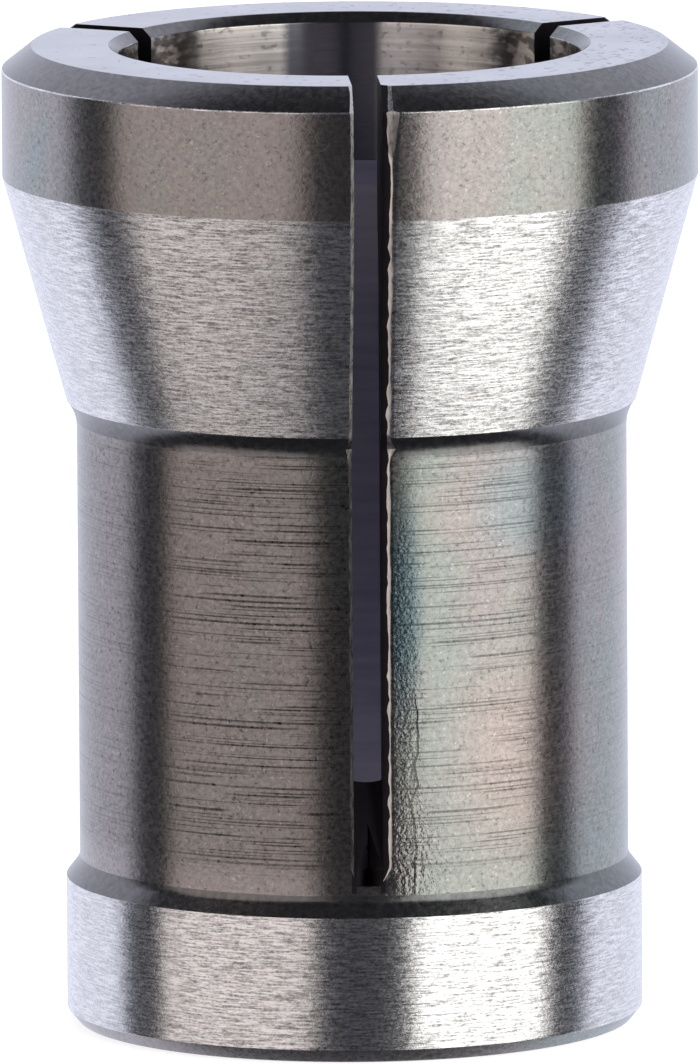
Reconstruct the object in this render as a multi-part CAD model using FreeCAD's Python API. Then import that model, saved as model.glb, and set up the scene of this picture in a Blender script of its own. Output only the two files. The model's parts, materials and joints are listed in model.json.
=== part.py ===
"""Die grinder collet: a hardened steel sleeve turned, slit and ground from one bar.

The shank of a bit goes in at the mouth. A nut presses on the chamfer round the mouth and drives the
cone into the spindle's taper, so the three slits close and the short bore behind the mouth grips.
Millimetres. +Z is the axis, with the mouth up. The origin is the centre of the foot's end face.
The first slit faces -Y.
"""

import FreeCAD, Part
import math
import os

Vector = FreeCAD.Vector
AXIS = Vector(0, 0, 1)
ORIGIN = Vector(0, 0, 0)

# Lengths along the axis
total_length = 17.05
foot_height = 2.53
head_band_height = 2.265

# Build-up from the shank outwards. The wall is the body's, which bends when the slits close.
grip_diameter = 8.0
shank_clearance = 0.2
spring_wall = 0.565
foot_step = 0.235
neck_step = 0.175
cone_rise = 1.085

# Foot
foot_chamfer_width = 0.19
foot_chamfer_height = 0.23
foot_bore_chamfer = 0.15
shoulder_angle = 38.0
shoulder_fillet = 0.3

# Cone, and the neck under it
cone_half_angle = 15.5
neck_fillet = 0.75

# Mouth
nut_chamfer_width = 0.51
nut_chamfer_height = 0.4
mouth_chamfer = 0.17
grip_length = 2.6
relief_taper_length = 0.45

# Slits, cut from the mouth by a slitting saw
slit_count = 3
slit_width = 0.5
slit_stop_above_foot = 0.52
saw_diameter = 20.0
saw_overcut = 0.05

# Bevel filed along one edge of the first slit, and the flat beside it at the head
edge_bevel_width = 0.14
edge_bevel_taper = 0.8
filed_flat_width = 0.22
filed_flat_length = 1.3
filed_flat_angle = 12.0

# How far a cutter stands past the surface that it cuts
clear_of_work = 1.0

grip_radius = grip_diameter / 2
relief_radius = grip_radius + shank_clearance
body_radius = relief_radius + spring_wall
foot_radius = body_radius + foot_step
neck_radius = body_radius + neck_step
head_radius = neck_radius + cone_rise
cone_top = total_length - head_band_height
cone_bottom = cone_top - cone_rise / math.tan(math.radians(cone_half_angle))
neck_bottom = cone_bottom - math.sqrt(neck_fillet**2 - (neck_fillet - neck_step) ** 2)
nut_chamfer_bottom = total_length - nut_chamfer_height
shoulder_height = foot_step / math.tan(math.radians(shoulder_angle))
slit_stop = foot_height + slit_stop_above_foot


def section_point(radius, height):
    """A point of the section that is turned round the axis."""
    return Vector(radius, 0, height)


def line(start, end):
    """A straight edge between two (radius, height) points."""
    return Part.LineSegment(section_point(*start), section_point(*end)).toShape()


def arc(start, middle, end):
    """A round edge through three (radius, height) points."""
    return Part.Arc(section_point(*start), section_point(*middle), section_point(*end)).toShape()


def shoulder_edges():
    """The slope from the foot in to the body, with the fillet that ends it, and where that stops."""
    angle = math.radians(shoulder_angle)
    corner_height = foot_height + shoulder_height
    slope_length = math.hypot(foot_step, shoulder_height)
    tangent = min(shoulder_fillet * math.tan(angle / 2), 0.5 * slope_length)
    radius = tangent / math.tan(angle / 2)
    centre = (body_radius + radius, corner_height + tangent)
    start = (body_radius + tangent * math.sin(angle), corner_height - tangent * math.cos(angle))
    middle = (centre[0] - radius * math.cos(angle / 2), centre[1] - radius * math.sin(angle / 2))
    end = (body_radius, centre[1])
    return [line((foot_radius, foot_height), start), arc(start, middle, end)], end


def neck_edge():
    """The hollow that runs from the body out to the small end of the cone."""
    sweep = math.acos((neck_fillet - neck_step) / neck_fillet)
    middle = (
        body_radius + neck_fillet * (1 - math.cos(sweep / 2)),
        neck_bottom + neck_fillet * math.sin(sweep / 2),
    )
    return arc((body_radius, neck_bottom), middle, (neck_radius, cone_bottom))


def turned_blank():
    """The sleeve as it leaves the lathe: one section turned round the axis."""
    shoulder, shoulder_end = shoulder_edges()
    foot_bore_edge = (relief_radius + foot_bore_chamfer, 0)
    foot_face_edge = (foot_radius - foot_chamfer_width, 0)
    foot_chamfer_top = (foot_radius, foot_chamfer_height)
    nut_chamfer_edge = (head_radius, nut_chamfer_bottom)
    mouth_face_edge = (head_radius - nut_chamfer_width, total_length)
    mouth_edge = (grip_radius + mouth_chamfer, total_length)
    grip_top = (grip_radius, total_length - mouth_chamfer)
    grip_bottom = (grip_radius, total_length - grip_length)
    relief_top = (relief_radius, total_length - grip_length - relief_taper_length)
    relief_bottom = (relief_radius, foot_bore_chamfer)
    outside = [
        line(foot_bore_edge, foot_face_edge),
        line(foot_face_edge, foot_chamfer_top),
        line(foot_chamfer_top, (foot_radius, foot_height)),
        *shoulder,
        line(shoulder_end, (body_radius, neck_bottom)),
        neck_edge(),
        line((neck_radius, cone_bottom), (head_radius, cone_top)),
        line((head_radius, cone_top), nut_chamfer_edge),
        line(nut_chamfer_edge, mouth_face_edge),
    ]
    inside = [
        line(mouth_face_edge, mouth_edge),
        line(mouth_edge, grip_top),
        line(grip_top, grip_bottom),
        line(grip_bottom, relief_top),
        line(relief_top, relief_bottom),
        line(relief_bottom, foot_bore_edge),
    ]
    section = Part.Face(Part.Wire(outside + inside))
    return section.revolve(ORIGIN, AXIS, 360)


def saw_pass():
    """What the saw clears along +X. Its round rim leaves a run-out through the wall at the stop."""
    saw_radius = saw_diameter / 2
    rim = grip_radius - saw_overcut
    arbor_radius = rim + saw_radius
    arbor_height = slit_stop + math.sqrt(saw_radius**2 - (arbor_radius - body_radius) ** 2)
    outer = head_radius + clear_of_work
    top = total_length + clear_of_work

    def rim_point(radius):
        return radius, arbor_height - math.sqrt(saw_radius**2 - (arbor_radius - radius) ** 2)

    edges = [
        line((rim, top), (rim, arbor_height)),
        arc((rim, arbor_height), rim_point((rim + outer) / 2), rim_point(outer)),
        line(rim_point(outer), (outer, top)),
        line((outer, top), (rim, top)),
    ]
    swept = Part.Face(Part.Wire(edges))
    swept.translate(Vector(0, -slit_width / 2, 0))
    return swept.extrude(Vector(0, slit_width, 0))


def file_stroke(angle, stations):
    """What a flat file clears from the +Y corner of a slit along +X. The angle is to the surface.

    Each station is a height, the outside radius there, and how far from the slit the cut reaches.
    """
    slope = math.tan(math.radians(angle))
    outer = head_radius + clear_of_work

    def section(height, radius, reach):
        inner = radius - slope * (slit_width / 2 + reach)
        corners = [(inner, 0), (outer, 0), (outer, (outer - inner) / slope), (inner, 0)]
        return Part.makePolygon([Vector(x, y, height) for x, y in corners])

    return Part.makeLoft([section(*station) for station in stations], True, True)


def edge_bevel():
    """The bevel along the whole edge. It runs out just above the end of the slit."""
    width = edge_bevel_width
    mouth_radius = head_radius - nut_chamfer_width
    stations = [
        (slit_stop, body_radius, 0),
        (slit_stop + edge_bevel_taper, body_radius, width),
        (neck_bottom, body_radius, width),
        (cone_bottom, neck_radius, width),
        (cone_top, head_radius, width),
        (nut_chamfer_bottom, head_radius, width),
        (total_length, mouth_radius, width),
        (total_length + clear_of_work, mouth_radius, width),
    ]
    return file_stroke(45.0, stations)


def filed_flat():
    """The shallow flat beside the bevel. It widens from nothing to the nut chamfer."""
    flat_bottom = nut_chamfer_bottom - filed_flat_length
    full_reach = edge_bevel_width + filed_flat_width
    stations = [
        (flat_bottom, head_radius, edge_bevel_width),
        (nut_chamfer_bottom, head_radius, full_reach),
        (total_length + clear_of_work, head_radius, full_reach),
    ]
    return file_stroke(filed_flat_angle, stations)


def turned_to_slit(cutter, index):
    """A cutter made along +X, brought round to one of the slits. The first slit faces -Y."""
    cutter.rotate(ORIGIN, AXIS, -90 + index * 360 / slit_count)
    return cutter


def collet():
    """The finished piece: the blank, slit from the mouth and filed along one edge."""
    cutters = [turned_to_slit(saw_pass(), index) for index in range(slit_count)]
    cutters += [turned_to_slit(edge_bevel(), 0), turned_to_slit(filed_flat(), 0)]
    return turned_blank().cut(cutters).removeSplitter()


os.makedirs("parts", exist_ok=True)
piece = collet()
piece.exportStep("parts/collet.step")
print(f"solids {len(piece.Solids)}, valid {piece.isValid()}, volume {piece.Volume:.2f} mm3")
print(f"faces {len(piece.Faces)}, cone {cone_bottom:.2f} to {cone_top:.2f} mm")
print(f"neck from {neck_bottom:.2f} mm, shoulder to {foot_height + shoulder_height:.2f} mm")
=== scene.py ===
import json
import math

import bpy
from bpy.props import FloatProperty, FloatVectorProperty, IntProperty, PointerProperty
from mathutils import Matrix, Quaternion, Vector, noise


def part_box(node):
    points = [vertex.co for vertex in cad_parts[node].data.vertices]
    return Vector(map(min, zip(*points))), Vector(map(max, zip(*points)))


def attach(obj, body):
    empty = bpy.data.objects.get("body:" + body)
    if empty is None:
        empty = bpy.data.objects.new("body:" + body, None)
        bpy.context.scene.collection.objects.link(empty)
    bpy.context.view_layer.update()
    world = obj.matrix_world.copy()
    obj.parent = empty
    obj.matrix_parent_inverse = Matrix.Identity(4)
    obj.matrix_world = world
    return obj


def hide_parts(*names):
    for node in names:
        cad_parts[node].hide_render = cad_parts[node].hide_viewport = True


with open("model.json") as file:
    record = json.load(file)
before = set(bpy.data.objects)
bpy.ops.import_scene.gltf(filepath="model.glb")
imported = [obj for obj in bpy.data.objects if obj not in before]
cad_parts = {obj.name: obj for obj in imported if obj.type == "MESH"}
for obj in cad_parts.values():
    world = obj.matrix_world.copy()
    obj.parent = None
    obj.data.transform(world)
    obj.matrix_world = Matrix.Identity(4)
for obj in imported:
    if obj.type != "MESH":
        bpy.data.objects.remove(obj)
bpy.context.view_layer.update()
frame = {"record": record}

bl_info = {
    "name": "Die Grinder Collet",
    "version": (1, 0, 0),
    "blender": (4, 5, 0),
    "location": "View3D > Sidebar > Collet",
    "description": "Turns, slits and finishes a die grinder collet, and sets up its studio",
    "category": "Add Mesh",
}

# Shared values
MM = 0.001
NODE = "collet"
NODE_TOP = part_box(NODE)[1].z
MOUNTS = {mount["name"]: mount for mount in frame["record"]["mounts"]}
BORE_RADIUS = MOUNTS["shank_bore"]["dims"]["r_mm"] * MM
RING_RADIUS = MOUNTS["foot_ring"]["dims"]["r_mm"] * MM

# Steps and tolerances of the modelling
MERGE_DISTANCE = 1e-4 * MM
SLACK = 0.004 * MM
ARC_STEPS = 4
SAW_FACETS = 512

# Files that break the edges of the slits
FILE_DEPTH = 1.5 * MM
BEVEL_ANGLE = math.radians(45)
BURR_ANGLE = math.radians(20)
EDGE_STATIONS = 140
EDGE_RUN_OUT = 0.3 * MM
PAST_MOUTH = 0.2 * MM
FLAT_STATIONS = 12

# A face turned this far from the round surface was filed, and past the second angle it is a bevel
FILED_TURN = math.radians(6)
BEVEL_TURN = math.radians(34)

# Stage
WHITE = (1.0, 1.0, 1.0)
FLOOR_SIZE = 3.0
FLOOR_GAP = 0.01 * MM
FLOOR_GLOW = 0.72
LAMP_TARGET = Vector((0, 0, 8.5 * MM))
LAMP_REACH = 0.3
BACKDROP_EDGE = (0.19, 0.38)
BACKDROP_LEAN = 0.06
PHOTO_HEIGHT_PX = 1064
CAMERA_SHIFT_PX = -2.3


# Sizes and colours that a user can change
def distance(name, description, default):
    """A length that the user can set, in metres."""
    return FloatProperty(
        name=name,
        description=description,
        default=default,
        min=0.0,
        precision=6,
        unit="LENGTH",
        subtype="DISTANCE",
    )


def angle(name, description, degrees):
    """An angle that the user can set, given here in degrees."""
    return FloatProperty(
        name=name, description=description, default=math.radians(degrees), unit="ROTATION", subtype="ANGLE"
    )


def colour(name, description, default):
    """A colour that the user can set."""
    return FloatVectorProperty(
        name=name, description=description, default=default, size=3, min=0.0, max=1.0, subtype="COLOR"
    )


def number(name, description, default):
    """A plain number that the user can set."""
    return FloatProperty(name=name, description=description, default=default)


def count(name, description, default):
    """A whole number that the user can set."""
    return IntProperty(name=name, description=description, default=default, min=1)


class SleeveSizes(bpy.types.PropertyGroup):
    """Sizes of the turned and slit sleeve."""

    total_length: distance("Length", "From the foot's face to the mouth's face", NODE_TOP)
    foot_height: distance("Foot height", "Height of the ground ring at the foot", 2.53 * MM)
    head_band_height: distance("Head band", "From the mouth's face down to the cone", 2.265 * MM)
    grip_radius: distance("Grip radius", "Radius of the bore that grips", BORE_RADIUS)
    foot_radius: distance("Foot radius", "Radius of the foot's ring", RING_RADIUS)
    shank_clearance: distance("Shank clearance", "From the shank out to the relief bore", 0.2 * MM)
    foot_step: distance("Foot step", "From the body out to the foot's ring", 0.235 * MM)
    neck_step: distance("Neck step", "From the body out to the small end of the cone", 0.175 * MM)
    cone_rise: distance("Cone rise", "From the small end of the cone out to its large end", 1.085 * MM)
    cone_half_angle: angle("Cone angle", "Between the cone's side and the axis", 15.5)
    neck_fillet: distance("Neck fillet", "Radius of the hollow under the cone", 0.75 * MM)
    shoulder_angle: angle("Shoulder angle", "Between the shoulder's slope and the axis", 38.0)
    shoulder_fillet: distance("Shoulder fillet", "Radius between the shoulder and the body", 0.3 * MM)
    foot_chamfer_width: distance("Foot chamfer width", "Across the chamfer under the ring", 0.19 * MM)
    foot_chamfer_height: distance("Foot chamfer height", "Up the chamfer under the ring", 0.23 * MM)
    foot_bore_chamfer: distance("Foot bore chamfer", "Chamfer round the bore at the foot", 0.15 * MM)
    nut_chamfer_width: distance("Nut chamfer width", "Across the chamfer that the nut presses", 0.51 * MM)
    nut_chamfer_height: distance("Nut chamfer height", "Down the chamfer that the nut presses", 0.4 * MM)
    mouth_chamfer: distance("Mouth chamfer", "Chamfer from the mouth's face into the bore", 0.17 * MM)
    grip_length: distance("Grip length", "From the mouth's face to the end of the gripping bore", 2.6 * MM)
    relief_taper_length: distance("Relief taper", "Taper from the grip out to the relief bore", 0.45 * MM)
    edge_round: distance("Edge rounding", "Rounding of the turned edges", 0.035 * MM)
    slit_count: count("Slits", "Number of slits", 3)
    slit_width: distance("Slit width", "Width of the saw cut", 0.5 * MM)
    slit_stop_above_foot: distance("Slit stop", "From the foot's ring up to the end of the slit", 0.52 * MM)
    saw_radius: distance("Saw radius", "Radius of the slitting saw", 10.0 * MM)
    saw_overcut: distance("Saw overcut", "How far the saw runs past the grip's wall", 0.05 * MM)
    edge_break: distance("Edge break", "Mean width filed off the edges of the slits", 0.05 * MM)
    edge_bevel_width: distance("Edge bevel", "Bevel along one edge of the first slit", 0.14 * MM)
    burr_width: distance("Burr", "Width of the bright strip beside that bevel", 0.06 * MM)
    filed_flat_width: distance("Filed flat width", "Widest part of the flat beside the bevel", 0.27 * MM)
    filed_flat_length: distance("Filed flat length", "Length of that flat below the nut chamfer", 1.3 * MM)
    filed_flat_angle: angle("Filed flat angle", "Between that flat and the surface", 12.0)
    turning_steps: count("Turning steps", "Facets round the sleeve", 360)


class SteelFinish(bpy.types.PropertyGroup):
    """Colours of the steel."""

    scale_brown: colour("Temper brown", "Main colour of the tempered skin", (0.34, 0.305, 0.29))
    scale_pink: colour("Temper pink", "Pink patches of the tempered skin", (0.41, 0.33, 0.305))
    scale_teal: colour("Temper teal", "Teal strip beside the first slit", (0.13, 0.19, 0.21))
    scale_green: colour("Temper green", "Greenish patches of the tempered skin", (0.295, 0.315, 0.285))
    scale_blue: colour("Temper blue", "Teal patches of the tempered skin", (0.27, 0.32, 0.335))
    ground: colour("Ground steel", "Bright ground steel of the cone and the foot", (0.72, 0.70, 0.685))
    faced: colour("Faced steel", "Pale steel of the mouth's face", (0.55, 0.55, 0.56))
    bored: colour("Bored steel", "Bored steel inside the mouth", (0.80, 0.755, 0.71))
    # A painted reflection: the dark room in front, as the back wall of the bore would mirror it
    painted_reflection: colour("Painted reflection", "Dark stain at the back of the bore", (0.19, 0.185, 0.21))
    relief: colour("Relief bore", "Dark bore below the grip", (0.45, 0.43, 0.49))
    # Sawn steel darkened to near black: painted shade of the narrow slits
    sawn_and_shaded: colour("Sawn steel", "Dark walls of the slits", (0.026, 0.022, 0.026))
    filed: colour("Filed steel", "Bright raw edges of the slits", (0.62, 0.58, 0.54))


class StudioSetup(bpy.types.PropertyGroup):
    """Camera, lamps and backdrop."""

    view_azimuth: angle("Camera azimuth", "Turn of the camera about the axis, from the front", -3.0)
    view_elevation: angle("Camera elevation", "Height of the camera above the horizon", 8.75)
    view_roll: angle("Camera roll", "Turn of the camera about its line of sight", -0.33)
    view_distance: distance("Camera distance", "From the camera to the point that it looks at", 451.0 * MM)
    view_height: distance("Look-at height", "Height of the point that the camera looks at", 8.494 * MM)
    lens: number("Lens", "Focal length in millimetres", 879.7)
    left_power: number("Left lamp", "Power of the left softbox in watts", 0.54)
    left_tint: colour("Left tint", "Colour of the left softbox", (1.0, 0.92, 0.905))
    right_power: number("Right lamp", "Power of the right softbox in watts", 1.04)
    right_tint: colour("Right tint", "Colour of the right softbox", (1.0, 1.0, 0.99))
    backdrop_tint: colour("Backdrop tint", "Colour of the backdrop", (0.81, 0.845, 1.0))
    backdrop_strength: number("Backdrop", "Brightness of the backdrop behind the collet", 1.12)
    room_strength: number("Room", "Brightness of the room in front of the collet", 0.07)


# Shader nodes
def feed_socket(tree, socket, value):
    """Links a Signal or another node's output to the socket, or sets the socket to a constant."""
    source = value.socket if isinstance(value, Signal) else value
    if isinstance(source, bpy.types.NodeSocket):
        tree.links.new(source, socket)
    elif socket.type == "RGBA":
        socket.default_value = (*value, 1.0)
    else:
        socket.default_value = value


def add_node(tree, kind, settings=None, inputs=None):
    """A new node of that kind, with its settings set first and then its sockets."""
    node = tree.nodes.new(kind)
    for name, value in (settings or {}).items():
        setattr(node, name, value)
    for name, value in (inputs or {}).items():
        feed_socket(tree, node.inputs[name], value)
    return node


class Signal:
    """A number socket in a finish. Python's operators on it add Math nodes."""

    def __init__(self, finish, socket):
        self.finish = finish
        self.socket = socket

    def maths(self, operation, *values):
        """The result of a Math node on this and the values."""
        inputs = dict(enumerate((self, *values)))
        return self.finish.add("ShaderNodeMath", {"operation": operation}, inputs)

    def __add__(self, other):
        return self.maths("ADD", other)

    def __sub__(self, other):
        return self.maths("SUBTRACT", other)

    def __rsub__(self, other):
        return self.finish.add("ShaderNodeMath", {"operation": "SUBTRACT"}, {0: other, 1: self})

    def __mul__(self, other):
        return self.maths("MULTIPLY", other)

    def __pow__(self, other):
        return self.maths("POWER", other)

    def __abs__(self):
        return self.maths("ABSOLUTE")

    __radd__ = __add__
    __rmul__ = __mul__

    def rise(self, low, high):
        """0 below low, 1 above high, and smooth in between."""
        settings = {"interpolation_type": "SMOOTHSTEP"}
        inputs = {"Value": self, "From Min": low, "From Max": high}
        return self.finish.add("ShaderNodeMapRange", settings, inputs)


class Finish:
    """A steel finish: a Principled shader with the nodes that vary it over the surface."""

    def __init__(self, name, **constants):
        self.material = bpy.data.materials.new(name)
        self.material.use_nodes = True
        self.tree = self.material.node_tree
        self.shader = self.tree.nodes["Principled BSDF"]
        self.feed(**constants)
        self.place = self.add("ShaderNodeTexCoord", output="Object")
        split = self.add("ShaderNodeSeparateXYZ", inputs={"Vector": self.place}).socket.node
        self.x, self.y, self.z = (Signal(self, output) for output in split.outputs)

    def add(self, kind, settings=None, inputs=None, output=0):
        """A node of that kind, set and fed as asked. Gives the output asked for as a Signal."""
        return Signal(self, add_node(self.tree, kind, settings, inputs).outputs[output])

    def feed(self, **sockets):
        """Sets or links the shader's sockets, named with underscores for spaces."""
        for name, value in sockets.items():
            feed_socket(self.tree, self.shader.inputs[name.replace("_", " ")], value)

    def noise(self, round_scale, axial_scale, detail=2.0, roughness=0.5):
        """Noise from 0 to 1, scaled apart round the axis and along it, in marks per metre."""
        scale = (round_scale, round_scale, axial_scale)
        marks = self.add("ShaderNodeMapping", None, {"Vector": self.place, "Scale": scale})
        inputs = {"Vector": marks, "Scale": 1.0, "Detail": detail, "Roughness": roughness}
        return self.add("ShaderNodeTexNoise", {"noise_dimensions": "3D"}, inputs)

    def rings(self, rings_per_metre):
        """Noise from 0 to 1 that changes along the axis only, as turning lines do."""
        inputs = {"W": self.z, "Scale": rings_per_metre, "Detail": 2.0}
        return self.add("ShaderNodeTexNoise", {"noise_dimensions": "1D"}, inputs)

    def near(self, centre, inner, outer, tall=1.0):
        """1 near the (x, z) centre on the front, 0 beyond the outer distance. In millimetres."""
        x, z = centre
        across, up = self.x - x * MM, (self.z - z * MM) * (1.0 / tall)
        reach = (across**2 + up**2) ** 0.5
        return reach.rise(outer * MM, inner * MM) * self.y.rise(0.0, -1.0 * MM)

    def blend(self, factor, first, second, mode="MIX"):
        """Two colours mixed by the factor."""
        settings = {"data_type": "RGBA", "blend_type": mode}
        return self.add("ShaderNodeMix", settings, {"Factor": factor, 6: first, 7: second}, output=2)

    def tinted(self, shade, base):
        """The base colour times a shade that varies over the surface."""
        grey = self.add("ShaderNodeCombineColor", None, {0: shade, 1: shade, 2: shade})
        return self.blend(1.0, base, grey, "MULTIPLY")

    def relief(self, height):
        """A bump of that height, in metres, on the shader's normal."""
        inputs = {"Height": height, "Strength": 1.0, "Distance": 1.0}
        self.feed(Normal=self.add("ShaderNodeBump", None, inputs))


# Modelling steps
def clear_selection():
    """Leaves nothing selected, with Blender in object mode."""
    if bpy.context.object and bpy.context.object.mode != "OBJECT":
        bpy.ops.object.mode_set(mode="OBJECT")
    bpy.ops.object.select_all(action="DESELECT")


def select_points(piece, chosen):
    """Selects the points of the mesh in edit mode for which chosen(place) is true."""
    bpy.ops.object.mode_set(mode="EDIT")
    bpy.ops.mesh.select_mode(type="VERT")
    bpy.ops.mesh.select_all(action="DESELECT")
    bpy.ops.object.mode_set(mode="OBJECT")
    for vertex in piece.data.vertices:
        vertex.select = chosen(vertex.co)
    bpy.ops.object.mode_set(mode="EDIT")


def apply_modifier(piece, kind, **settings):
    """Adds a modifier to the piece and applies it."""
    clear_selection()
    piece.select_set(True)
    bpy.context.view_layer.objects.active = piece
    modifier = piece.modifiers.new(kind.title(), kind)
    for name, value in settings.items():
        setattr(modifier, name, value)
    bpy.ops.object.modifier_apply(modifier=modifier.name)


def cut_away(piece, cutters):
    """Takes the cutters' space out of the piece in one go, and the cutters out of the scene."""
    group = bpy.data.collections.new("cutters")
    for cutter in cutters:
        group.objects.link(cutter)
    settings = {"operation": "DIFFERENCE", "solver": "EXACT", "operand_type": "COLLECTION"}
    apply_modifier(piece, "BOOLEAN", collection=group, **settings)
    for cutter in cutters:
        bpy.data.objects.remove(cutter)
    bpy.data.collections.remove(group)


# The sleeve's shape
def body_radius(sizes):
    """Radius of the slim body between the foot and the neck."""
    return sizes.foot_radius - sizes.foot_step


def cone_ends(sizes):
    """Heights of the cone's small end and of its large end."""
    large_end = sizes.total_length - sizes.head_band_height
    return large_end - sizes.cone_rise / math.tan(sizes.cone_half_angle), large_end


def knee_height(sizes):
    """Height of the knee between the head's cylinder and the nut chamfer."""
    return sizes.total_length - sizes.nut_chamfer_height


def slit_stop(sizes):
    """Height of the slit's low end on the body."""
    return sizes.foot_height + sizes.slit_stop_above_foot


def slit_turn(sizes, index):
    """Angle from +X round to a slit. The first slit faces -Y."""
    return index * math.tau / sizes.slit_count - math.pi / 2


def outside_corners(sizes):
    """Corners of the turned outside, from the foot's chamfer up to the mouth's face.

    Each is a radius, a height and a rounding. The two roundings under the cone lie close together,
    so both are a little smaller than they would be alone.
    """
    s = sizes
    body = body_radius(s)
    neck = body + s.neck_step
    head = neck + s.cone_rise
    cone_bottom, cone_top = cone_ends(s)
    shoulder_top = s.foot_height + s.foot_step / math.tan(s.shoulder_angle)
    hollow = math.acos((s.neck_fillet - s.neck_step) / s.neck_fillet)
    hollow_corner = cone_bottom - s.neck_step / math.tan(hollow)
    return [
        (s.foot_radius, s.foot_chamfer_height, s.edge_round),
        (s.foot_radius, s.foot_height, s.edge_round),
        (body, shoulder_top, s.shoulder_fillet),
        (body, hollow_corner, s.neck_fillet * 0.97),
        (neck, cone_bottom, s.edge_round * 0.4),
        (head, cone_top, s.edge_round),
        (head, knee_height(s), s.edge_round),
        (head - s.nut_chamfer_width, s.total_length, s.edge_round),
    ]


def section_corners(sizes):
    """Corners of the whole turned section in order, each as (radius, height, rounding)."""
    s = sizes
    top = s.total_length
    relief = s.grip_radius + s.shank_clearance
    return [
        (relief + s.foot_bore_chamfer, 0.0, s.edge_round),
        (s.foot_radius - s.foot_chamfer_width, 0.0, s.edge_round),
        *outside_corners(s),
        (s.grip_radius + s.mouth_chamfer, top, s.edge_round),
        (s.grip_radius, top - s.mouth_chamfer, s.edge_round),
        (s.grip_radius, top - s.grip_length, s.edge_round),
        (relief, top - s.grip_length - s.relief_taper_length, s.edge_round),
        (relief, s.foot_bore_chamfer, s.edge_round),
    ]


def rounded_section(corners):
    """Points of the closed section, with an arc at each corner."""
    points = []
    for index, (radius, height, rounding) in enumerate(corners):
        corner = Vector((radius, 0.0, height))
        before = (Vector((corners[index - 1][0], 0.0, corners[index - 1][1])) - corner).normalized()
        following = corners[(index + 1) % len(corners)]
        after = (Vector((following[0], 0.0, following[1])) - corner).normalized()
        turn = math.pi - before.angle(after)
        start = before * rounding * math.tan(turn / 2)
        end = after * rounding * math.tan(turn / 2)
        centre = (before + after).normalized() * rounding / math.cos(turn / 2)
        for step in range(ARC_STEPS + 1):
            spoke = (start - centre).normalized().slerp((end - centre).normalized(), step / ARC_STEPS)
            points.append(corner + centre + spoke * rounding)
    return points


def draw_outline(points):
    """A closed outline drawn point by point. It is left all selected, in edit mode."""
    clear_selection()
    bpy.ops.mesh.primitive_plane_add(size=MM)
    bpy.ops.object.mode_set(mode="EDIT")
    bpy.ops.mesh.select_mode(type="VERT")
    bpy.ops.mesh.merge(type="CENTER")
    bpy.ops.transform.translate(value=points[0])
    for start, end in zip(points, points[1:] + points[:1]):
        bpy.ops.mesh.extrude_region_move(TRANSFORM_OT_translate={"value": end - start})
    bpy.ops.mesh.select_all(action="SELECT")
    bpy.ops.mesh.remove_doubles(threshold=MERGE_DISTANCE)
    return bpy.context.object


def turn_blank(sizes):
    """The sleeve as it leaves the lathe: its section is spun round the axis."""
    blank = draw_outline(rounded_section(section_corners(sizes)))
    blank.name = "slit_sleeve"
    bpy.ops.mesh.spin(steps=sizes.turning_steps, angle=math.tau, center=(0, 0, 0), axis=(0, 0, 1))
    bpy.ops.mesh.select_all(action="SELECT")
    bpy.ops.mesh.remove_doubles(threshold=MERGE_DISTANCE)
    bpy.ops.mesh.normals_make_consistent(inside=False)
    half_step = math.pi / sizes.turning_steps
    bpy.ops.transform.rotate(value=half_step, orient_axis="Z", center_override=(0, 0, 0))
    bpy.ops.object.mode_set(mode="OBJECT")
    return blank


def turn_to_slit(cutter, sizes, index):
    """Brings a cutter made along +X round to a slit."""
    clear_selection()
    cutter.select_set(True)
    bpy.context.view_layer.objects.active = cutter
    cutter.rotation_euler.z = slit_turn(sizes, index)
    bpy.ops.object.transform_apply(location=True, rotation=True, scale=True)
    return cutter


def saw_blade(sizes):
    """The space that the saw clears along +X: a disc whose upper half is drawn up past the mouth."""
    s = sizes
    arbor_radius = s.grip_radius - s.saw_overcut + s.saw_radius
    arbor_height = slit_stop(s) + math.sqrt(s.saw_radius**2 - (arbor_radius - body_radius(s)) ** 2)
    clear_selection()
    bpy.ops.mesh.primitive_cylinder_add(
        vertices=SAW_FACETS,
        radius=s.saw_radius,
        depth=s.slit_width,
        location=(arbor_radius, 0, arbor_height),
        rotation=(math.pi / 2, 0, 0),
    )
    blade = bpy.context.object
    bpy.ops.object.transform_apply(location=True, rotation=True, scale=True)
    select_points(blade, lambda place: place.z > arbor_height + SLACK)
    bpy.ops.transform.translate(value=(0, 0, s.total_length))
    bpy.ops.object.mode_set(mode="OBJECT")
    return blade


def outside_radius(sizes, height):
    """The radius of the turned outside at that height, without the roundings."""
    outside = outside_corners(sizes)
    for (r0, z0, _), (r1, z1, _) in zip(outside, outside[1:]):
        if z0 <= height <= z1:
            return r0 + (r1 - r0) * (height - z0) / (z1 - z0)
    return outside[-1][0]


def edge_file(sizes, side, slope_angle, stations):
    """A three-sided file along one edge of the slit on +X. The side is 1 for +Y and -1 for -Y.

    The angle is between the cut and the turned surface. Each station is a height, and how far from
    the slit the cut reaches there.
    """
    slope = math.tan(slope_angle)
    depth = FILE_DEPTH * min(slope, 1.0)
    corners = [(0, 0, 0), (depth, 0, 0), (depth, side * depth / slope, 0)]
    places = []
    for height, reach in stations:
        inner = outside_radius(sizes, height) - slope * (sizes.slit_width / 2 + reach)
        places.append(Vector((inner, 0, height)))
    cutter = draw_outline([places[0] + Vector(corner) for corner in corners])
    bpy.ops.mesh.edge_face_add()
    for start, end in zip(places, places[1:]):
        bpy.ops.mesh.extrude_region_move(TRANSFORM_OT_translate={"value": end - start})
    bpy.ops.mesh.select_all(action="SELECT")
    bpy.ops.mesh.normals_make_consistent(inside=False)
    bpy.ops.object.mode_set(mode="OBJECT")
    return cutter


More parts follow.
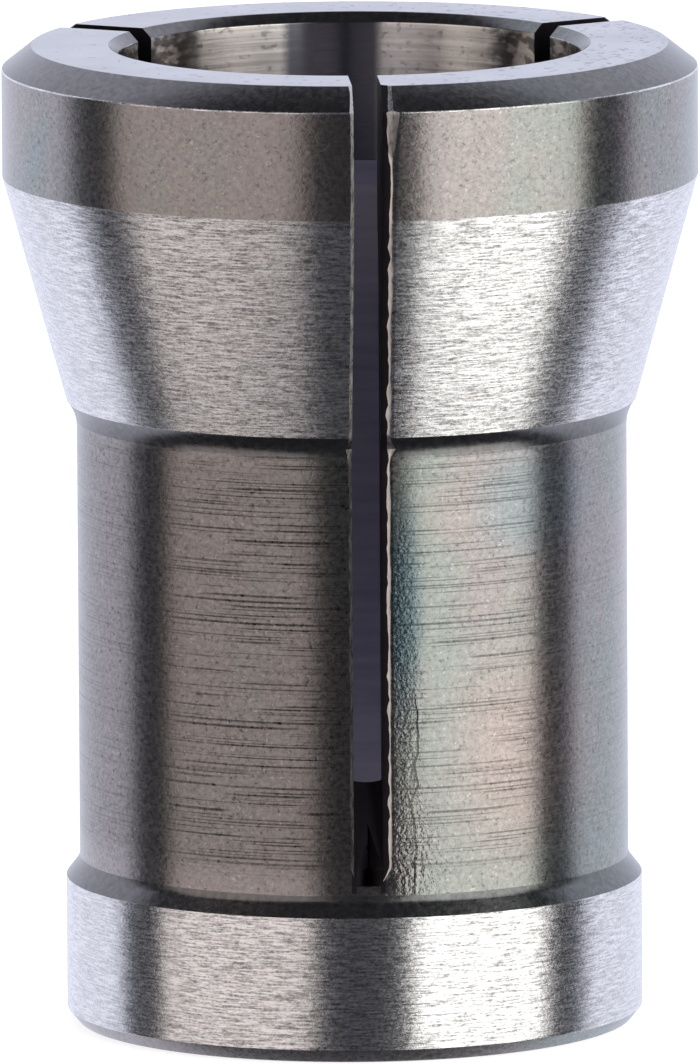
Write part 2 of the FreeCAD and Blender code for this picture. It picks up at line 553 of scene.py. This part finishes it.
def break_stations(sizes, width, seed):
    """Stations of a hand-filed edge of that mean width, which wanders along the slit.

    At the low end the reach is negative, so the file starts clear of the edge.
    """
    low = slit_stop(sizes)
    high = sizes.total_length + PAST_MOUTH
    stations = []
    for step in range(EDGE_STATIONS + 1):
        height = low + (high - low) * step / EDGE_STATIONS
        slow = noise.noise(Vector((height / MM * 1.2, seed, 0.0)))
        quick = noise.noise(Vector((height / MM * 5.0, seed, 7.0)))
        wander = sizes.edge_break * 0.6 * (slow + 0.8 * quick)
        run_out = min((height - low) / EDGE_RUN_OUT, 1.0)
        stations.append((height, (width + wander) * run_out - sizes.edge_break * (1.0 - run_out)))
    return stations


def flat_stations(sizes):
    """Stations of the flat beside the bevel: its reach grows up to the knee, then runs out."""
    knee = knee_height(sizes)
    bottom = knee - sizes.filed_flat_length
    stations = []
    for step in range(FLAT_STATIONS + 1):
        height = bottom + (knee - bottom) * step / FLAT_STATIONS
        wander = 1.0 + 0.12 * noise.noise(Vector((height / MM * 2.5, 3.0, 5.0)))
        width = sizes.filed_flat_width * wander * (height - bottom) / sizes.filed_flat_length
        stations.append((height, sizes.edge_bevel_width + width))
    run_out = sizes.nut_chamfer_width / math.tan(sizes.filed_flat_angle)
    stations.append((sizes.total_length, stations[-1][1] - run_out))
    return stations


def slit_cutters(sizes):
    """The saw and the files for every slit. One edge of the first slit has the bevel and the flat."""
    cutters = []
    front_widths = {-1: sizes.edge_break * 1.3, 1: sizes.edge_bevel_width}
    for index in range(sizes.slit_count):
        cutters.append(turn_to_slit(saw_blade(sizes), sizes, index))
        for side in (-1, 1):
            width = sizes.edge_break if index else front_widths[side]
            stations = break_stations(sizes, width, seed=index * 2.7 + side)
            cutter = edge_file(sizes, side, BEVEL_ANGLE, stations)
            cutters.append(turn_to_slit(cutter, sizes, index))
    burr = break_stations(sizes, sizes.edge_bevel_width + sizes.burr_width, seed=11.3)
    for slope_angle, stations in ((BURR_ANGLE, burr), (sizes.filed_flat_angle, flat_stations(sizes))):
        cutters.append(turn_to_slit(edge_file(sizes, 1, slope_angle, stations), sizes, 0))
    return cutters


def is_in_slit(sizes, place):
    """Whether the place is in a slit or on its walls, above the slit's low end."""
    for index in range(sizes.slit_count):
        turn = slit_turn(sizes, index)
        along = place.x * math.cos(turn) + place.y * math.sin(turn)
        across = place.y * math.cos(turn) - place.x * math.sin(turn)
        if along > 0 and abs(across) < sizes.slit_width / 2 + SLACK:
            return place.z > slit_stop(sizes)
    return False


# Which finish goes where
def face_finish(sizes, place, normal):
    """The name of the finish for a face at that place with that normal."""
    s = sizes
    cone_bottom, cone_top = cone_ends(s)
    knee = knee_height(s)
    radius = math.hypot(place.x, place.y)
    out = Vector((place.x, place.y, 0)) / radius
    facing = normal.dot(out)
    if facing > -0.5 and is_in_slit(s, place):
        return "sawn_and_shaded"
    if facing > 0.4:
        turned_aside = Vector((normal.x, normal.y, 0)).angle(out)
        if turned_aside > FILED_TURN:
            # Steep bevels on the front right take that near-black colour too: painted shade
            front_right = place.x > 0 and -place.y > place.x
            return "sawn_and_shaded" if front_right and turned_aside > BEVEL_TURN else "filed"
    if facing < -0.2:
        if place.z > s.total_length - s.mouth_chamfer:
            return "pressed"
        return "bored" if place.z > s.total_length - s.grip_length - SLACK else "relief"
    on_cone = cone_bottom - SLACK < place.z < cone_top and radius > body_radius(s)
    on_ring = s.foot_chamfer_height - SLACK < place.z < s.foot_height + SLACK
    if facing > 0.5 and (on_cone or on_ring):
        return "ground"
    if facing > 0.3 and abs(place.z - knee) < s.edge_round / 2:
        return "ground"
    if normal.z > 0.98 and place.z > s.total_length - SLACK:
        return "faced"
    in_hollow = cone_bottom - s.neck_fillet < place.z < cone_bottom
    on_shoulder = s.foot_height < place.z < slit_stop(s)
    if 0.3 < facing < 0.97 and (place.z > knee or in_hollow or on_shoulder):
        return "pressed"
    return "tempered"


def paint_faces(sleeve, sizes, finishes):
    """Gives each face the finish of its place."""
    names = list(finishes)
    for name in names:
        sleeve.data.materials.append(finishes[name].material)
    for face in sleeve.data.polygons:
        face.material_index = names.index(face_finish(sizes, face.center, face.normal))


# The finishes
def tempered_skin(finish, colours):
    """Brown temper colour with faint green and teal patches."""
    patches = finish.noise(330.0, 170.0, detail=3.0)
    side = finish.x * 22.0
    skin = finish.blend((patches + side).rise(0.46, 0.66), colours.scale_brown, colours.scale_green)
    skin = finish.blend(patches.rise(0.66, 0.78), skin, colours.scale_blue)
    skin = finish.blend(finish.near((2.7, 5.2), 0.3, 1.9, tall=1.5) * 0.8, skin, colours.scale_pink)
    skin = finish.blend(finish.near((1.5, 9.6), 0.1, 0.9) * 0.4, skin, colours.scale_pink)
    skin = finish.blend(finish.near((2.9, 9.6), 0.3, 1.5) * 0.7, skin, colours.scale_blue)
    return finish.blend(finish.near((0.6, 7.8), 0.1, 0.5, tall=5.5) * 0.9, skin, colours.scale_teal)


def tempered_steel(sizes, colours):
    """Tempered steel with a fine grain, and with turning lines on the body."""
    finish = Finish("tempered_steel", Metallic=1.0, Anisotropic=0.8, Anisotropic_Rotation=0.25)
    grain = finish.noise(11000.0, 14000.0, detail=3.0, roughness=0.8)
    glints = finish.noise(20000.0, 20000.0, detail=0.0).rise(0.74, 0.80)
    pits = finish.noise(13000.0, 13000.0, detail=1.0).rise(0.62, 0.72)
    lines = finish.rings(21000.0)
    broken = finish.noise(600.0, 6000.0, detail=1.0).rise(0.40, 0.58)
    low, high = slit_stop(sizes), cone_ends(sizes)[1] - 4.4 * MM
    on_body = finish.z.rise(low, low + 0.6 * MM) * (1.0 - finish.z.rise(high, high + 0.3 * MM))
    in_front = finish.y.rise(-3.0 * MM, -4.2 * MM) * 0.7 + 0.3
    grooves = lines.rise(0.51, 0.40) * broken * on_body * in_front
    to_right = finish.x.rise(-1.0 * MM, 1.0 * MM)
    shadow = 0.20 - to_right * 0.19
    swarf = finish.near((1.1, 3.4), 0.2, 1.6) + finish.near((0.6, 6.4), 0.2, 0.6, tall=7.0) * 0.7
    bumps = finish.noise(15000.0, 15000.0, detail=2.0)
    wander = finish.x - finish.rings(800.0) * (0.5 * MM) - 0.6 * MM
    seam = abs(wander).rise(0.045 * MM, 0.01 * MM) * finish.near((0.8, 4.6), 0.5, 1.0, tall=1.9)
    shade = grain * 1.5 + 0.27 - grooves * (0.5 - to_right * 0.2) - on_body * shadow
    shade = shade - pits * 0.3 + glints * 0.4
    roughness = grain * 0.25 + 0.15 + grooves * 0.2
    finish.feed(Base_Color=finish.tinted(shade, tempered_skin(finish, colours)), Roughness=roughness)
    finish.relief(lines * on_body * 3e-6 + grain * 3e-6 + bumps * swarf * 12e-6 + seam * 12e-6)
    return finish


def pressed_steel(sizes, colours):
    """Smooth dark steel of the chamfers round the mouth."""
    finish = Finish("pressed_steel", Metallic=1.0)
    grain = finish.noise(9000.0, 9000.0, detail=3.0, roughness=0.7)
    skin = finish.blend(0.35, tempered_skin(finish, colours), colours.faced)
    finish.feed(Base_Color=finish.tinted(grain * 0.6 + 0.14, skin), Roughness=grain * 0.2 + 0.12)
    finish.relief(grain * 2e-6)
    return finish


def ground_steel(sizes, colours):
    """Bright steel with short fine scratches round the axis."""
    finish = Finish("ground_steel", Metallic=1.0, Anisotropic=0.8, Anisotropic_Rotation=0.25)
    streaks = finish.noise(2600.0, 34000.0, detail=3.0, roughness=0.7)
    fine = finish.noise(14000.0, 26000.0, detail=2.0, roughness=0.7)
    marks = streaks.rise(0.34, 0.66) * 0.9 + fine.rise(0.30, 0.70) * 0.6
    in_front = finish.y.rise(-2.0 * MM, -4.5 * MM) * 0.6 + 0.4
    shade = (marks - 0.75) * in_front + 0.98
    finish.feed(Base_Color=finish.tinted(shade, colours.ground), Roughness=fine * 0.2 + 0.16)
    finish.relief(streaks * 3e-6 + fine * 2e-6)
    return finish


def faced_steel(sizes, colours):
    """The mouth's pale face, with small pits."""
    finish = Finish("faced_steel", Metallic=1.0, Roughness=0.3)
    pits = (finish.noise(7000.0, 7000.0, detail=2.0) + finish.x * 8.0).rise(0.64, 0.70)
    cloud = finish.noise(900.0, 900.0, detail=3.0)
    shade = 1.0 - pits * 0.6 + (cloud - 0.5) * 0.5
    finish.feed(Base_Color=finish.tinted(shade, colours.faced))
    finish.relief(pits * -3e-6)
    return finish


def bored_steel(sizes, colours):
    """Bored steel with long feed lines, a few dark specks and a painted dark reflection at the back."""
    finish = Finish("bored_steel", Metallic=1.0, Anisotropic=0.9, Anisotropic_Rotation=0.25)
    lines = finish.noise(260.0, 11000.0, detail=3.0, roughness=0.6)
    specks = finish.noise(7000.0, 9000.0, detail=2.0).rise(0.56, 0.72)
    at_back = finish.y.rise(0.0, 1.0 * MM)
    # A band across the back wall darkened in colour: painted reflection of the dark room in front
    across = finish.x.rise(-1.05 * MM, -0.80 * MM) * (1.0 - finish.x.rise(0.60 * MM, 0.82 * MM))
    ends = abs(finish.x).rise(2.40 * MM, 2.85 * MM) * at_back
    blotches = finish.noise(3000.0, 5000.0, detail=3.0).rise(0.40, 0.56)
    shade = (lines * 1.2 + 0.5 - specks * 0.4) * (1.0 - ends * blotches * 0.7)
    skin = finish.blend(across * at_back, finish.tinted(shade, colours.bored), colours.painted_reflection)
    finish.feed(Base_Color=skin, Roughness=lines * 0.15 + 0.14)
    finish.relief(lines * 2e-6)
    return finish


def relief_steel(sizes, colours):
    """The dark bore below the grip."""
    finish = Finish("relief_steel", Metallic=1.0, Roughness=0.5)
    marks = finish.noise(500.0, 6000.0, detail=2.0)
    finish.feed(Base_Color=finish.tinted(marks * 0.6 + 0.7, colours.relief))
    return finish


def shaded_sawn_steel(sizes, colours):
    """Dark sawn walls, near black as painted shade of the narrow slits."""
    finish = Finish("shaded_sawn_steel", Metallic=1.0)
    marks = finish.noise(9000.0, 9000.0, detail=2.0)
    finish.feed(Base_Color=finish.tinted(marks * 0.8 + 0.6, colours.sawn_and_shaded), Roughness=marks * 0.2 + 0.5)
    finish.relief(marks * 2e-6)
    return finish


def filed_steel(sizes, colours):
    """Bright raw steel where a file went along the slits. It is darker on the left, below the head, as
    painted shade.
    """
    finish = Finish("filed_steel", Metallic=1.0)
    marks = finish.noise(20000.0, 5000.0, detail=2.0)
    # Painted shade: the filed edges on the left of the body are darkened
    left_body_shade = (1.0 - finish.x.rise(-0.2 * MM, 0.0)) * (1.0 - finish.z.rise(10.3 * MM, 10.9 * MM))
    shade = (marks * 0.9 + 0.55) * (1.0 - left_body_shade * 0.72)
    finish.feed(Base_Color=finish.tinted(shade, colours.filed), Roughness=marks * 0.3 + 0.15)
    finish.relief(marks * 3e-6)
    return finish


FINISHES = {
    "tempered": tempered_steel,
    "pressed": pressed_steel,
    "ground": ground_steel,
    "faced": faced_steel,
    "bored": bored_steel,
    "relief": relief_steel,
    "sawn_and_shaded": shaded_sawn_steel,
    "filed": filed_steel,
}


class COLLET_OT_sleeve(bpy.types.Operator):
    """Turn the blank, saw its slits, file their edges and give it its steel finishes"""

    bl_idname = "collet.sleeve"
    bl_label = "Sleeve"

    def execute(self, context):
        sizes = context.scene.collet_sizes
        colours = context.scene.collet_finish
        sleeve = turn_blank(sizes)
        cut_away(sleeve, slit_cutters(sizes))
        finishes = {name: make(sizes, colours) for name, make in FINISHES.items()}
        paint_faces(sleeve, sizes, finishes)
        clear_selection()
        sleeve.select_set(True)
        context.view_layer.objects.active = sleeve
        bpy.ops.object.shade_smooth_by_angle(angle=math.radians(30))
        apply_modifier(sleeve, "WEIGHTED_NORMAL", keep_sharp=True, weight=50)
        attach(sleeve, "root")
        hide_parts(NODE)
        return {"FINISHED"}


# The stage
def towards(azimuth, elevation):
    """Unit vector at that azimuth from the front, positive to the right, and that elevation."""
    level = math.cos(elevation)
    return Vector((math.sin(azimuth) * level, -math.cos(azimuth) * level, math.sin(elevation)))


def add_softbox(name, azimuth, elevation, width, height, power, tint):
    """A soft lamp that faces the collet from that azimuth and elevation, in degrees."""
    back = towards(math.radians(azimuth), math.radians(elevation))
    clear_selection()
    bpy.ops.object.light_add(type="AREA", location=LAMP_TARGET + back * LAMP_REACH)
    lamp = bpy.context.object
    lamp.name = name
    lamp.rotation_euler = back.to_track_quat("Z", "Y").to_euler()
    lamp.data.shape = "RECTANGLE"
    lamp.data.size = width
    lamp.data.size_y = height
    lamp.data.energy = power
    lamp.data.color = tint
    lamp.visible_camera = False


def add_floor():
    """A plain white floor. Reflections see past it to the lamps and the backdrop."""
    clear_selection()
    bpy.ops.mesh.primitive_plane_add(size=FLOOR_SIZE)
    floor = bpy.context.object
    floor.name = "floor"
    floor.location.z = -FLOOR_GAP
    floor.visible_glossy = False
    floor.visible_shadow = False
    paper = bpy.data.materials.new("white_paper")
    paper.use_nodes = True
    tree = paper.node_tree
    seen = add_node(tree, "ShaderNodeLightPath").outputs["Is Camera Ray"]
    glow = add_node(tree, "ShaderNodeMath", {"operation": "MULTIPLY"}, {0: seen, 1: FLOOR_GLOW})
    sockets = {
        "Base Color": (0.9, 0.9, 0.9),
        "Roughness": 1.0,
        "Emission Color": glow.outputs[0],
        "Emission Strength": 1.0,
    }
    for name, value in sockets.items():
        feed_socket(tree, tree.nodes["Principled BSDF"].inputs[name], value)
    floor.data.materials.append(paper)


def set_world(scene, studio):
    """White where the camera looks past the floor. The backdrop is bright behind the collet only."""
    world = bpy.data.worlds.new("studio")
    scene.world = world
    world.use_nodes = True
    tree = world.node_tree
    tree.nodes.clear()
    place = add_node(tree, "ShaderNodeTexCoord").outputs["Generated"]
    split = add_node(tree, "ShaderNodeSeparateXYZ", None, {"Vector": place}).outputs
    inputs = {0: split["X"], 1: BACKDROP_LEAN, 2: split["Y"]}
    back = add_node(tree, "ShaderNodeMath", {"operation": "MULTIPLY_ADD"}, inputs).outputs[0]
    settings = {"interpolation_type": "SMOOTHSTEP"}
    inputs = {"Value": back, "From Min": BACKDROP_EDGE[0], "From Max": BACKDROP_EDGE[1]}
    inputs.update({"To Min": studio.room_strength, "To Max": studio.backdrop_strength})
    strength = add_node(tree, "ShaderNodeMapRange", settings, inputs).outputs[0]
    inputs = {"Color": studio.backdrop_tint, "Strength": strength}
    room = add_node(tree, "ShaderNodeBackground", None, inputs).outputs[0]
    paper = add_node(tree, "ShaderNodeBackground", None, {"Color": WHITE}).outputs[0]
    seen = add_node(tree, "ShaderNodeLightPath").outputs["Is Camera Ray"]
    mix = add_node(tree, "ShaderNodeMixShader", None, {0: seen, 1: room, 2: paper}).outputs[0]
    add_node(tree, "ShaderNodeOutputWorld", None, {"Surface": mix})


def add_camera(scene, studio):
    """The camera of the photograph."""
    back = towards(studio.view_azimuth, studio.view_elevation)
    target = Vector((0, 0, studio.view_height))
    clear_selection()
    bpy.ops.object.camera_add(location=target + back * studio.view_distance)
    camera = bpy.context.object
    roll = Quaternion((0, 0, 1), studio.view_roll)
    camera.rotation_euler = ((-back).to_track_quat("-Z", "Y") @ roll).to_euler()
    camera.data.lens = studio.lens
    camera.data.sensor_width = 36.0
    camera.data.shift_x = CAMERA_SHIFT_PX / PHOTO_HEIGHT_PX
    scene.camera = camera


class COLLET_OT_studio(bpy.types.Operator):
    """Set up the floor, the lamps, the backdrop and the camera"""

    bl_idname = "collet.studio"
    bl_label = "Studio"

    def execute(self, context):
        scene = context.scene
        studio = scene.collet_studio
        scene.view_settings.view_transform = "Standard"
        add_floor()
        set_world(scene, studio)
        left = {"azimuth": -53.0, "elevation": 4.0, "width": 0.40, "height": 0.56}
        right = {"azimuth": 50.3, "elevation": 3.0, "width": 0.335, "height": 0.60}
        add_softbox("left_softbox", power=studio.left_power, tint=studio.left_tint, **left)
        add_softbox("right_softbox", power=studio.right_power, tint=studio.right_tint, **right)
        add_camera(scene, studio)
        return {"FINISHED"}


# The add-on
class COLLET_PT_panel(bpy.types.Panel):
    """Lists the steps that make the collet."""

    bl_idname = "COLLET_PT_panel"
    bl_label = "Collet"
    bl_space_type = "VIEW_3D"
    bl_region_type = "UI"
    bl_category = "Collet"

    def draw(self, context):
        layout = self.layout
        for operator in OPERATORS:
            layout.operator(operator.bl_idname)
        for group in ("collet_sizes", "collet_finish", "collet_studio"):
            settings = getattr(context.scene, group)
            box = layout.box()
            for name in settings.__annotations__:
                box.prop(settings, name)


OPERATORS = (COLLET_OT_sleeve, COLLET_OT_studio)
GROUPS = {"collet_sizes": SleeveSizes, "collet_finish": SteelFinish, "collet_studio": StudioSetup}


def register():
    for cls in (*GROUPS.values(), *OPERATORS, COLLET_PT_panel):
        bpy.utils.register_class(cls)
    for name, group in GROUPS.items():
        setattr(bpy.types.Scene, name, PointerProperty(type=group))


def unregister():
    for name in GROUPS:
        delattr(bpy.types.Scene, name)
    for cls in (COLLET_PT_panel, *reversed(OPERATORS), *reversed(GROUPS.values())):
        bpy.utils.unregister_class(cls)


def main():
    register()
    bpy.ops.collet.sleeve()
    bpy.ops.collet.studio()


if __name__ == "__main__":
    main()
